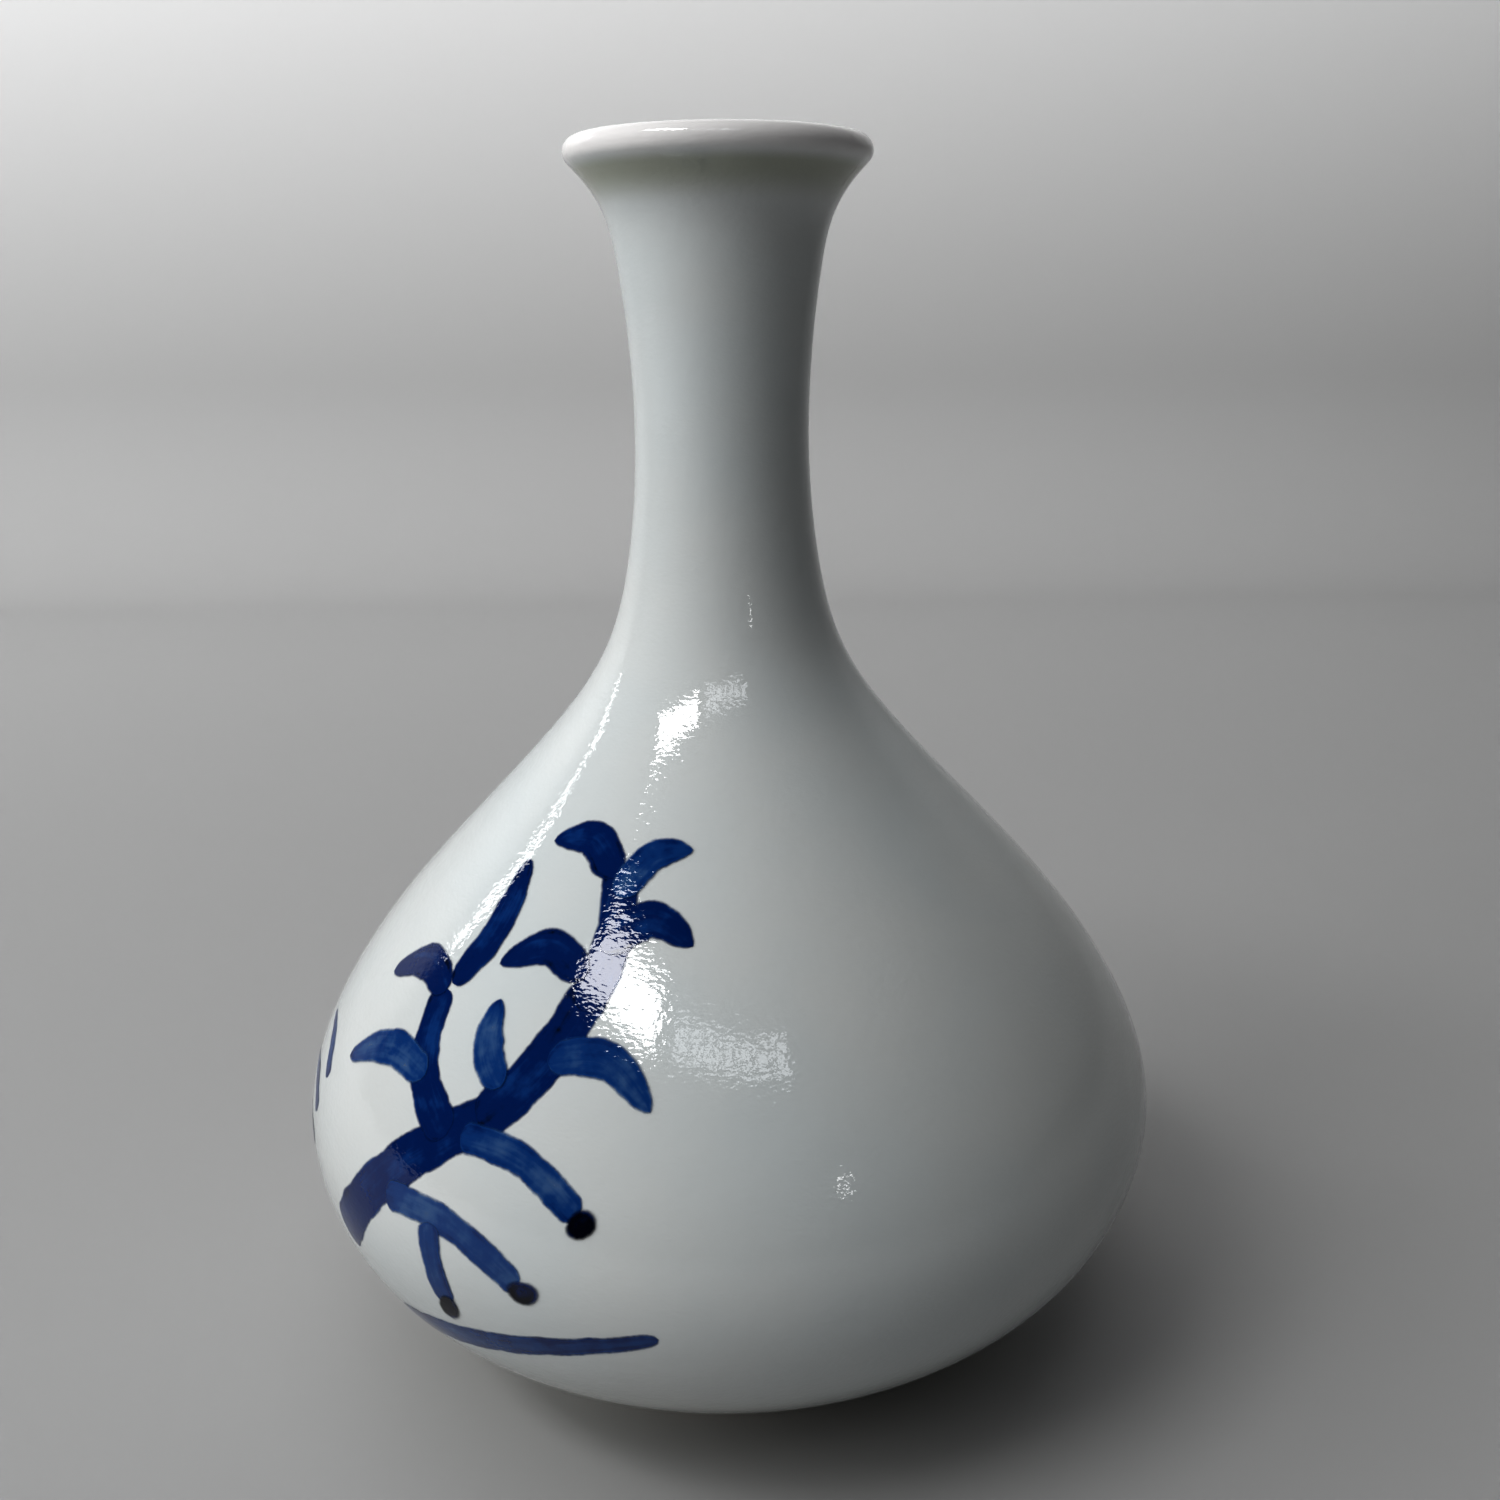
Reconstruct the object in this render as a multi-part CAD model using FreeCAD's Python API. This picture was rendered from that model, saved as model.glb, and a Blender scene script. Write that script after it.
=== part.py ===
"""Porcelain sake bottle: low round belly, slim waisted neck, flared mouth with a rolled lip.

Millimetres, +Z up.  The origin is the centre of the foot ring's resting face, and the axis of
the bottle is Z.  The front of the bottle faces -Y.

The pieces follow the way the bottle is made.  A belly and a neck are formed from clay and luted
together, a foot ring is set under the base, cobalt is brushed on the belly, and glaze covers
the outside, the inside and the recess under the base.  Only the foot ring's rim stays bare.
"""
import FreeCAD, Part
import math
import os

from FreeCAD import Vector

# ---- Outside of the glazed bottle.  Each rise is the height above the station before it. ----
FOOT_RADIUS = 25.5          # outer wall of the foot ring
FOOT_HEIGHT = 3.0           # depth of the recess under the base
BELLY_RADIUS = 53.8         # widest part of the bottle
LOW_BELLY_TUCK = 16.8       # how far each belly station lies inside the widest radius
LOW_BELLY_RISE = 7.5
UNDER_BELLY_TUCK = 4.0
UNDER_BELLY_RISE = 11.5
BELLY_RISE = 13.0
UPPER_BELLY_TUCK = 5.1
UPPER_BELLY_RISE = 15.0
SHOULDER_TUCK = 21.3
SHOULDER_RISE = 20.0
HIGH_SHOULDER_TUCK = 31.6
HIGH_SHOULDER_RISE = 11.0
WAIST_RADIUS = 10.3         # slimmest part of the neck
NECK_ROOT_SPREAD = 4.2      # how far each neck station lies outside the waist
NECK_ROOT_RISE = 11.0
LOW_NECK_SPREAD = 1.0
LOW_NECK_RISE = 12.0
WAIST_RISE = 14.0
FLARE_SPREAD = 1.6
FLARE_RISE = 19.0
LIP_RADIUS = 17.5           # outer edge of the rolled lip
LIP_RISE = 13.0
LIP_BEAD_RADIUS = 1.65      # half the thickness of the rolled lip
FOOT_LEAVING_ANGLE = 30.0   # degrees above level, where the belly leaves the foot ring
LIP_OUTER_ANGLE = -46.0     # where the flare meets the bead, about the bead's centre
LIP_INNER_ANGLE = 150.0     # where the bead meets the throat

# ---- Walls and coats ----
BELLY_WALL = 3.4            # clay
NECK_WALL = 2.7             # clay
BASE_THICKNESS = 4.0        # clay, at the axis
FOOT_RING_WIDTH = 3.4       # radial, glaze included
FOOT_EDGE_ROUND = 0.8
GLAZE = 0.3
GLAZE_STOP = 1.2            # height of the bare rim that the glaze leaves on the foot ring
PIGMENT = 0.1               # cobalt lying on the clay, under the glaze

# ---- Brushwork on the belly: (degrees round from the front, height above the foot ring) ----
BOUGH_STROKES = (           # each with its width
    (((-56.0, 27.0), (-44.0, 40.0), (-31.0, 48.5)), 5.3),
    (((-33.0, 47.0), (-26.0, 53.5), (-21.5, 60.5)), 5.2),
    (((-22.5, 58.0), (-20.5, 64.5), (-23.5, 70.5)), 4.4),
    (((-37.0, 45.0), (-45.0, 49.5), (-48.5, 56.5)), 4.4),
)
GROUND_STROKES = ((((-47.0, 19.5), (-27.0, 24.5), (-8.0, 29.5)), 3.7),)
STEM_STROKES = (
    (((-35.0, 45.5), (-25.5, 45.0), (-17.5, 41.0)), 3.1),
    (((-45.0, 37.0), (-33.5, 37.0), (-24.0, 33.0)), 3.1),
    (((-37.0, 36.5), (-36.0, 31.5), (-34.5, 27.5)), 2.9),
)
BERRY_RADIUS = 1.5
BERRIES = ((-17.0, 40.5), (-23.5, 32.5), (-34.5, 27.0))
DEEP_LEAVES = (
    (((-24.0, 69.0), (-32.0, 72.0), (-43.0, 71.0)), 4.6),
    (((-22.0, 63.0), (-14.5, 66.0), (-6.0, 64.0)), 4.8),
    (((-23.5, 60.5), (-31.0, 62.5), (-40.0, 60.0)), 4.6),
    (((-48.0, 56.0), (-55.0, 57.5), (-64.0, 54.5)), 4.6),
    (((-47.5, 57.0), (-44.5, 62.5), (-46.5, 69.0)), 4.4),
)
PALE_LEAVES = (
    (((-44.0, 49.0), (-53.0, 49.5), (-63.0, 45.5)), 4.4),
    (((-25.5, 53.5), (-17.5, 54.5), (-10.0, 50.5)), 4.4),
    (((-31.0, 50.5), (-35.5, 53.5), (-36.5, 57.5)), 4.2),
    (((-22.0, 67.5), (-15.5, 71.5), (-7.5, 72.0)), 4.0),
)
SIDE_LEAVES = (
    (((-68.0, 41.0), (-73.0, 44.0), (-80.0, 45.0)), 2.4),
    (((-69.0, 36.5), (-74.5, 39.0), (-82.0, 39.0)), 2.4),
    (((-69.5, 32.0), (-75.0, 33.5), (-81.0, 33.0)), 2.2),
)

AXIS = Vector(0, 0, 1)
CENTRE = Vector(0, 0, 0)


def outer_stations():
    """Stations (radius, height) up the outside of the glaze, from the foot ring to the flare."""
    steps = (
        (BELLY_RADIUS - LOW_BELLY_TUCK, LOW_BELLY_RISE),
        (BELLY_RADIUS - UNDER_BELLY_TUCK, UNDER_BELLY_RISE),
        (BELLY_RADIUS, BELLY_RISE),
        (BELLY_RADIUS - UPPER_BELLY_TUCK, UPPER_BELLY_RISE),
        (BELLY_RADIUS - SHOULDER_TUCK, SHOULDER_RISE),
        (BELLY_RADIUS - HIGH_SHOULDER_TUCK, HIGH_SHOULDER_RISE),
        (WAIST_RADIUS + NECK_ROOT_SPREAD, NECK_ROOT_RISE),
        (WAIST_RADIUS + LOW_NECK_SPREAD, LOW_NECK_RISE),
        (WAIST_RADIUS, WAIST_RISE),
        (WAIST_RADIUS + FLARE_SPREAD, FLARE_RISE),
    )
    stations = []
    height = FOOT_HEIGHT
    for radius, rise in steps:
        height += rise
        stations.append(Vector(radius, 0, height))
    return stations


STATIONS = outer_stations()
CLAY_WALLS = (BELLY_WALL,) * 6 + (NECK_WALL,) * 4      # clay behind each station
NECK_JOINT_HEIGHT = STATIONS[6].z                      # where the neck is luted to the belly
LIP_CENTRE = Vector(LIP_RADIUS - LIP_BEAD_RADIUS, 0,
                    STATIONS[-1].z + LIP_RISE - LIP_BEAD_RADIUS)
FOOT_INNER_RADIUS = FOOT_RADIUS - FOOT_RING_WIDTH
FLOOR_HEIGHT = FOOT_HEIGHT + BASE_THICKNESS            # clay floor at the axis


def direction(degrees):
    angle = math.radians(degrees)
    return Vector(math.cos(angle), 0, math.sin(angle))


def smooth_curve(points, start, end):
    """Curve through the points, which leaves along start and arrives along end."""
    curve = Part.BSplineCurve()
    curve.interpolate(Points=points, InitialTangent=start, FinalTangent=end)
    return curve


def lip_point(degrees, bead_radius):
    return LIP_CENTRE + direction(degrees) * bead_radius


def outer_curve(foot_radius, stations, bead_radius):
    return smooth_curve([Vector(foot_radius, 0, FOOT_HEIGHT)] + stations
                        + [lip_point(LIP_OUTER_ANGLE, bead_radius)],
                        direction(FOOT_LEAVING_ANGLE), direction(LIP_OUTER_ANGLE + 90))


def inner_curve(floor_height, stations, bead_radius):
    return smooth_curve([Vector(0, 0, floor_height)] + stations
                        + [lip_point(LIP_INNER_ANGLE, bead_radius)],
                        Vector(1, 0, 0), direction(LIP_INNER_ANGLE - 90))


VISIBLE = outer_curve(FOOT_RADIUS, STATIONS, LIP_BEAD_RADIUS)


def inwards(depths):
    """The stations moved square to the visible outside, into the wall, each by its own depth."""
    moved = []
    for station, depth in zip(STATIONS, depths):
        tangent = VISIBLE.tangent(VISIBLE.parameter(station))[0]
        moved.append(station + Vector(-tangent.z, 0, tangent.x) * depth)
    return moved


def coat(depth):
    return [depth] * len(STATIONS)


CLAY_FOOT_RADIUS = FOOT_RADIUS - GLAZE
CLAY_BEAD_RADIUS = LIP_BEAD_RADIUS - GLAZE
CLAY_OUTSIDE = outer_curve(CLAY_FOOT_RADIUS, inwards(coat(GLAZE)), CLAY_BEAD_RADIUS)
CLAY_INSIDE = inner_curve(FLOOR_HEIGHT, inwards([GLAZE + wall for wall in CLAY_WALLS]),
                          CLAY_BEAD_RADIUS)
THROAT = inner_curve(FLOOR_HEIGHT + GLAZE, inwards([2 * GLAZE + wall for wall in CLAY_WALLS]),
                     LIP_BEAD_RADIUS)


def line(first, second):
    return Part.LineSegment(first, second).toShape()


def lip_arc(bead_radius):
    middle = (LIP_OUTER_ANGLE + LIP_INNER_ANGLE) / 2
    return Part.Arc(lip_point(LIP_OUTER_ANGLE, bead_radius), lip_point(middle, bead_radius),
                    lip_point(LIP_INNER_ANGLE, bead_radius)).toShape()


def turned(edges):
    """The solid that a closed outline in the XZ plane sweeps about the bottle's axis."""
    return Part.Face(Part.Wire(Part.sortEdges(edges)[0])).revolve(CENTRE, AXIS, 360)


def at(radius, height):
    return Vector(radius, 0, height)


def clay():
    return turned([
        line(at(0, FOOT_HEIGHT), at(CLAY_FOOT_RADIUS, FOOT_HEIGHT)),
        CLAY_OUTSIDE.toShape(), lip_arc(CLAY_BEAD_RADIUS), CLAY_INSIDE.toShape(),
        line(at(0, FLOOR_HEIGHT), at(0, FOOT_HEIGHT)),
    ])


def below_neck_joint():
    return Part.makeCylinder(BELLY_RADIUS + LIP_RADIUS, NECK_JOINT_HEIGHT)


def foot_ring():
    ring = Part.makeCylinder(CLAY_FOOT_RADIUS, FOOT_HEIGHT).cut(
        Part.makeCylinder(FOOT_INNER_RADIUS, FOOT_HEIGHT))
    rim = [edge for edge in ring.Edges if edge.BoundBox.ZMax < FOOT_HEIGHT / 2]
    return ring.makeFillet(FOOT_EDGE_ROUND, rim)


def outer_glaze_coat():
    """Glaze from the bare rim of the foot ring, up the outside and over the lip."""
    return turned([
        line(at(CLAY_FOOT_RADIUS, GLAZE_STOP), at(FOOT_RADIUS, GLAZE_STOP)),
        line(at(FOOT_RADIUS, GLAZE_STOP), at(FOOT_RADIUS, FOOT_HEIGHT)),
        VISIBLE.toShape(), lip_arc(LIP_BEAD_RADIUS),
        line(lip_point(LIP_INNER_ANGLE, LIP_BEAD_RADIUS),
             lip_point(LIP_INNER_ANGLE, CLAY_BEAD_RADIUS)),
        lip_arc(CLAY_BEAD_RADIUS), CLAY_OUTSIDE.toShape(),
        line(at(CLAY_FOOT_RADIUS, FOOT_HEIGHT), at(CLAY_FOOT_RADIUS, GLAZE_STOP)),
    ])


def inner_glaze():
    return turned([
        line(at(0, FLOOR_HEIGHT), at(0, FLOOR_HEIGHT + GLAZE)),
        THROAT.toShape(),
        line(lip_point(LIP_INNER_ANGLE, LIP_BEAD_RADIUS),
             lip_point(LIP_INNER_ANGLE, CLAY_BEAD_RADIUS)),
        CLAY_INSIDE.toShape(),
    ])


def base_glaze():
    return Part.makeCylinder(FOOT_INNER_RADIUS, GLAZE, Vector(0, 0, FOOT_HEIGHT - GLAZE))


def pigment_layer():
    """The thin shell on the clay, from the foot ring to the neck joint, that holds the paint."""
    painted = outer_curve(CLAY_FOOT_RADIUS, inwards(coat(GLAZE - PIGMENT)),
                          CLAY_BEAD_RADIUS + PIGMENT)
    return turned([
        CLAY_OUTSIDE.toShape(), painted.toShape(),
        line(lip_point(LIP_OUTER_ANGLE, CLAY_BEAD_RADIUS),
             lip_point(LIP_OUTER_ANGLE, CLAY_BEAD_RADIUS + PIGMENT)),
    ]).common(below_neck_joint())


def radius_at(height):
    """Visible radius at a height.  The outside climbs all the way, so halving finds it."""
    low, high = VISIBLE.FirstParameter, VISIBLE.LastParameter
    for _ in range(40):
        middle = (low + high) / 2
        if VISIBLE.value(middle).z < height:
            low = middle
        else:
            high = middle
    return VISIBLE.value(low).x


def flat_points(marks):
    """Marks on the belly seen square on from the side, and the direction they are seen from."""
    facing = sum(turn for turn, _ in marks) / len(marks)
    points = []
    for turn, rise in marks:
        height = FOOT_HEIGHT + rise
        points.append(Vector(radius_at(height) * math.sin(math.radians(turn - facing)), height, 0))
    return points, facing


def prism(edges, facing):
    """A column with the outline's shape, from the axis out through the belly's wall."""
    column = Part.Face(Part.Wire(Part.sortEdges(edges)[0])).extrude(
        Vector(0, 0, 2 * BELLY_RADIUS))
    column.rotate(CENTRE, Vector(1, 0, 0), 90)
    column.rotate(CENTRE, AXIS, facing)
    return column


def bent_stroke(marks, width):
    """A stroke of even width with round ends, along the arc through three marks."""
    (first, middle, last), facing = flat_points(marks)
    spine = Part.Arc(first, middle, last).toShape().Curve
    sides = []
    ends = []
    for offset in (-width / 2, width / 2):
        grown = [spine.Center + (point - spine.Center) * (1 + offset / spine.Radius)
                 for point in (first, middle, last)]
        sides.append(Part.Arc(*grown).toShape())
        ends.append(grown)
    caps = []
    for end, index, sign in ((first, 0, -1), (last, 2, 1)):
        along = spine.tangent(spine.parameter(end))[0] * sign
        caps.append(Part.Arc(ends[0][index], end + along * (width / 2), ends[1][index]).toShape())
    return prism(sides + caps, facing)


def leaf_stroke(marks, width):
    """A pressed brush mark: two curved sides that meet in a point at each end."""
    (first, middle, last), facing = flat_points(marks)
    along = last - first
    across = Vector(-along.y, along.x, 0).normalize() * (width / 2)
    sides = []
    for side in (-1, 1):
        curve = Part.BSplineCurve()
        curve.interpolate([first, middle + across * side, last])
        sides.append(curve.toShape())
    return prism(sides, facing)


def dab(mark, radius):
    (centre,), facing = flat_points((mark,))
    return prism([Part.Circle(centre, Vector(0, 0, 1), radius).toShape()], facing)


def painted(groups, layer):
    """Each group of columns as solids of paint.  A later stroke stops where an earlier one lies."""
    brushwork = {}
    laid = []
    for name, columns in groups.items():
        brushwork[name] = []
        for column in columns:
            fresh = layer.common(column)
            crossed = [earlier for earlier in laid if earlier.common(column).Volume > 0]
            if crossed:
                fresh = fresh.cut(crossed)
            brushwork[name] += fresh.Solids
            laid.append(column)
    return brushwork


def export(name, solids):
    shape = solids[0] if len(solids) == 1 else Part.makeCompound(solids)
    shape.exportStep(f"parts/{name}.step")


def main():
    os.makedirs("parts", exist_ok=True)
    whole_clay = clay()
    lower = below_neck_joint()
    brushwork = painted({
        "painted_bough": [bent_stroke(*stroke) for stroke in BOUGH_STROKES],
        "painted_ground_line": [bent_stroke(*stroke) for stroke in GROUND_STROKES],
        "painted_berries": [dab(mark, BERRY_RADIUS) for mark in BERRIES],
        "painted_stems": [bent_stroke(*stroke) for stroke in STEM_STROKES],
        "painted_deep_leaves": [leaf_stroke(*leaf) for leaf in DEEP_LEAVES],
        "painted_pale_leaves": [leaf_stroke(*leaf) for leaf in PALE_LEAVES],
        "painted_side_leaves": [leaf_stroke(*leaf) for leaf in SIDE_LEAVES],
    }, pigment_layer())
    outer_glaze = outer_glaze_coat()
    for strokes in brushwork.values():
        outer_glaze = outer_glaze.cut(strokes)
    export("belly", [whole_clay.common(lower)])
    export("neck", [whole_clay.cut(lower)])
    export("foot_ring", [foot_ring()])
    export("outer_glaze", [outer_glaze])
    export("inner_glaze", [inner_glaze()])
    export("base_glaze", [base_glaze()])
    for name, strokes in brushwork.items():
        export(name, strokes)


main()
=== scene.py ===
import math

import bpy
import numpy as np
from mathutils import Matrix, Vector


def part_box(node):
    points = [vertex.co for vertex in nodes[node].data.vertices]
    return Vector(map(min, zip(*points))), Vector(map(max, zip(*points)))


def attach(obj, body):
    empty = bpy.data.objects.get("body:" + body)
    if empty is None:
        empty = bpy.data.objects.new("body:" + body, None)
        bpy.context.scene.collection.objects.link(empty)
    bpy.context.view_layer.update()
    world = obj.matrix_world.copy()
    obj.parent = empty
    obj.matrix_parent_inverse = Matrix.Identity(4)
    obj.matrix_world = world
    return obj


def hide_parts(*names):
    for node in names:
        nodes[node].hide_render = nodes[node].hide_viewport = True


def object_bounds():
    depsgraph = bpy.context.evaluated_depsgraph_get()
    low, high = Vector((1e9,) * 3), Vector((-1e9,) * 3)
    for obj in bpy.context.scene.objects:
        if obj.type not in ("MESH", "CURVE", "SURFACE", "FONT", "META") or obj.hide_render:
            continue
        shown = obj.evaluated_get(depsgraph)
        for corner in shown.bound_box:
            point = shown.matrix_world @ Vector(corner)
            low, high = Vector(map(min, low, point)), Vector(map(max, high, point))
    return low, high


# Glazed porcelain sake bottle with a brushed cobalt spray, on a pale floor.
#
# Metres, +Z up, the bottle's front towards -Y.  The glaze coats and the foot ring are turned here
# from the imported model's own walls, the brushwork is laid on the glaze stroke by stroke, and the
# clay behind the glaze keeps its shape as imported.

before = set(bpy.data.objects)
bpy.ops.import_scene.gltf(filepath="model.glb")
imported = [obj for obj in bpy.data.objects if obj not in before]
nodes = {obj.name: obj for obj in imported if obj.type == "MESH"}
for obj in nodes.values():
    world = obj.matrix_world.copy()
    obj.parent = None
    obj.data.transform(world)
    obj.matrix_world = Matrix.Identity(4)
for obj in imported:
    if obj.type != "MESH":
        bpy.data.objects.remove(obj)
cad_low, cad_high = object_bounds()

MM = 0.001

# ---- The bottle's own sizes that its boxes don't give ----
LIP_BEAD = 1.65 * MM            # half the thickness of the rolled lip
LIP_OUTER_ANGLE = -46.0         # degrees, where the flare meets the bead
LIP_INNER_ANGLE = 150.0         # degrees, where the bead meets the throat
GLAZE = 0.3 * MM
FOOT_EDGE_ROUND = 0.8 * MM
TOP = cad_high.z
GLAZE_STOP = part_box("outer_glaze")[0].z
FOOT_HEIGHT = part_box("foot_ring")[1].z
FOOT_CLAY_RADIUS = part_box("foot_ring")[1].x
RECESS_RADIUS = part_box("base_glaze")[1].x
RECESS_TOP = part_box("base_glaze")[0].z

# ---- Mesh fineness ----
AROUND = 288                    # columns round the bottle
KNOT_GAP = 3.5 * MM             # spacing of the wall points that the profile is drawn through
ROW_GAP = 0.9 * MM              # spacing of the rows up the wall


# ======================================================================================
# Lines and walls
# ======================================================================================

class SmoothLine:
    """Natural cubic spline through points in the plane, measured along its chords."""

    def __init__(self, points):
        self.points = np.array(points, float)
        gaps = np.linalg.norm(np.diff(self.points, axis=0), axis=1)
        self.marks = np.concatenate([[0.0], np.cumsum(gaps)])
        self.length = self.marks[-1]
        count = len(self.points)
        system = np.eye(count)
        right = np.zeros_like(self.points)
        slopes = np.diff(self.points, axis=0) / gaps[:, None]
        for i in range(1, count - 1):
            system[i, i - 1:i + 2] = gaps[i - 1], 2 * (gaps[i - 1] + gaps[i]), gaps[i]
            right[i] = 6 * (slopes[i] - slopes[i - 1])
        self.bends = np.linalg.solve(system, right)

    def at(self, along):
        """Points on the line, and its direction there."""
        along = np.clip(np.asarray(along, float), 0, self.length)
        i = np.clip(np.searchsorted(self.marks, along, side="right") - 1, 0, len(self.marks) - 2)
        gap = (self.marks[i + 1] - self.marks[i])[:, None]
        b = (along - self.marks[i])[:, None] / gap
        a = 1 - b
        p, q = self.points[i], self.points[i + 1]
        m, n = self.bends[i], self.bends[i + 1]
        place = a * p + b * q + ((a ** 3 - a) * m + (b ** 3 - b) * n) * gap ** 2 / 6
        pace = (q - p) / gap + ((1 - 3 * a ** 2) * m + (3 * b ** 2 - 1) * n) * gap / 6
        return place, pace / np.linalg.norm(pace, axis=1, keepdims=True)


def wall_knots(node, side):
    """Points (radius, height) up one wall of a turned node, from its plain back right quarter.

    side is 1 for the wall that faces outwards and -1 for the one that faces the axis.
    """
    mesh = nodes[node].data
    found = set()
    for face in mesh.polygons:
        centre = face.center
        if centre.x > 0 and centre.y > 0:
            outwards = Vector((centre.x, centre.y, 0)).normalized()
            if face.normal.dot(outwards) * side > 0.002:
                for i in face.vertices:
                    spot = mesh.vertices[i].co
                    found.add((round(math.hypot(spot.x, spot.y), 8), round(spot.z, 8)))
    return sorted(found, key=lambda point: point[1])


def spaced(points, low, high):
    """Every point between two heights that lies at least KNOT_GAP from the one before it."""
    kept = []
    inside = [np.array(p) for p in points if low - 1e-7 <= p[1] <= high + 1e-7]
    for point in inside:
        if not kept or np.linalg.norm(point - kept[-1]) >= KNOT_GAP:
            kept.append(point)
    if np.linalg.norm(inside[-1] - kept[-1]) < KNOT_GAP / 2:
        kept.pop()
    kept.append(inside[-1])
    return kept


outside_points = wall_knots("outer_glaze", 1)
LIP_RADIUS = max(radius for radius, height in outside_points if height > TOP - 2 * LIP_BEAD)
FOOT_RADIUS = min(radius for radius, height in outside_points if height < GLAZE_STOP + 1e-5)
LIP_CENTRE = np.array([LIP_RADIUS - LIP_BEAD, TOP - LIP_BEAD])


def on_bead(degrees):
    angle = np.radians(np.asarray(degrees, float))
    return LIP_CENTRE + LIP_BEAD * np.stack([np.cos(angle), np.sin(angle)], -1)


FLARE_TOP = on_bead(LIP_OUTER_ANGLE)
THROAT_TOP = on_bead(LIP_INNER_ANGLE)

outside = SmoothLine(
    spaced([p for p in outside_points if p[0] > FOOT_RADIUS + 1e-7 or p[1] > FOOT_HEIGHT - 1e-7],
           FOOT_HEIGHT, FLARE_TOP[1] - KNOT_GAP / 2) + [FLARE_TOP])
throat_points = [p for p in wall_knots("inner_glaze", -1) if p[1] < THROAT_TOP[1] - 1e-6]
floor_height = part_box("inner_glaze")[0].z + GLAZE
throat = SmoothLine([np.array([0.0, floor_height])]
                    + spaced([p for p in throat_points if p[0] > KNOT_GAP],
                             floor_height, THROAT_TOP[1] - KNOT_GAP / 2) + [THROAT_TOP])


def rows_along(line, gap=ROW_GAP):
    count = max(2, int(round(line.length / gap)))
    place, pace = line.at(np.linspace(0, line.length, count + 1))
    square = np.stack([pace[:, 1], -pace[:, 0]], 1)
    return place, square


def arc_rows(first, last, steps):
    """Rows over the lip's bead, and the direction square to each."""
    angles = np.linspace(first, last, steps + 1)
    turn = np.radians(angles)
    return on_bead(angles), np.stack([np.cos(turn), np.sin(turn)], 1)


# ======================================================================================
# Mesh making
# ======================================================================================

def add_object(name, mesh, body="root", replaces=()):
    piece = bpy.data.objects.new(name, mesh)
    bpy.context.scene.collection.objects.link(piece)
    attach(piece, body)
    if replaces:
        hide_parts(*replaces)
    return piece


def turned_mesh(name, rings, around=AROUND, smooth_below=30.0):
    """A closed mesh turned about the axis from a closed outline of (radius, height) points.

    A point on the axis becomes a single vertex.  Its map lays the outline out by its length.
    """
    count = len(rings)
    angles = np.arange(around) * 2 * math.pi / around
    verts, index = [], []
    for radius, height in rings:
        if radius < 1e-7:
            index.append([len(verts)] * around)
            verts.append((0.0, 0.0, height))
        else:
            index.append(list(range(len(verts), len(verts) + around)))
            verts.extend((radius * math.cos(a), radius * math.sin(a), height) for a in angles)
    lengths = np.linalg.norm(np.diff(np.vstack([rings, rings[:1]]), axis=0), axis=1)
    marks = np.concatenate([[0.0], np.cumsum(lengths)]) / lengths.sum()
    faces, places = [], []
    for i in range(count):
        j = (i + 1) % count
        for k in range(around):
            m = (k + 1) % around
            corners = [(index[i][k], k / around, marks[i]), (index[i][m], (k + 1) / around, marks[i]),
                       (index[j][m], (k + 1) / around, marks[i + 1]),
                       (index[j][k], k / around, marks[i + 1])]
            face, spots = [], []
            for vertex, u, v in corners:
                if vertex not in face:
                    face.append(vertex)
                    spots.append((u, v))
            if len(face) > 2:
                faces.append(face)
                places.extend(spots)
    mesh = bpy.data.meshes.new(name)
    mesh.from_pydata(verts, [], faces)
    layer = mesh.uv_layers.new(name="OFBake")
    layer.data.foreach_set("uv", np.array(places, np.float32).ravel())
    mesh.shade_smooth()
    mesh.set_sharp_from_angle(angle=math.radians(smooth_below))
    mesh.validate()
    return mesh


# ======================================================================================
# Shader groups
# ======================================================================================

def new_group(name, inputs, outputs):
    tree = bpy.data.node_groups.new(name, "ShaderNodeTree")
    for label, kind, value in inputs:
        socket = tree.interface.new_socket(label, in_out="INPUT", socket_type=kind)
        if value is not None:
            socket.default_value = value
    for label, kind in outputs:
        tree.interface.new_socket(label, in_out="OUTPUT", socket_type=kind)
    return tree, tree.nodes.new("NodeGroupInput"), tree.nodes.new("NodeGroupOutput")


def add(tree, kind, settings=None, **sockets):
    """A node with its settings, and each named socket set to a value or joined to an output."""
    node = tree.nodes.new(kind)
    for key, value in (settings or {}).items():
        setattr(node, key, value)
    for key, value in sockets.items():
        label = key.replace("_", " ")
        socket = node.inputs[int(key[1:])] if key[1:].isdigit() else node.inputs[label]
        if isinstance(value, bpy.types.NodeSocket):
            tree.links.new(value, socket)
        else:
            socket.default_value = value
    return node


def maths(tree, operation, first, second=0.0, clamp=False):
    node = add(tree, "ShaderNodeMath", {"operation": operation, "use_clamp": clamp},
               i0=first, i1=second)
    return node.outputs[0]


def ramp(tree, value, low, high, to_low=0.0, to_high=1.0, style="SMOOTHSTEP"):
    node = add(tree, "ShaderNodeMapRange", {"interpolation_type": style},
               Value=value, From_Min=low, From_Max=high, To_Min=to_low, To_Max=to_high)
    return node.outputs[0]


def noise(tree, vector, scale, detail=2.0, rough=0.5):
    return add(tree, "ShaderNodeTexNoise", Vector=vector, Scale=scale, Detail=detail,
               Roughness=rough).outputs[0]


def blend_colour(tree, factor, first, second, mode="MIX"):
    node = add(tree, "ShaderNodeMix", {"data_type": "RGBA", "blend_type": mode})
    for socket, value in ((node.inputs[0], factor), (node.inputs[6], first),
                          (node.inputs[7], second)):
        if isinstance(value, bpy.types.NodeSocket):
            tree.links.new(value, socket)
        else:
            socket.default_value = value
    return node.outputs[2]


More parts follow.
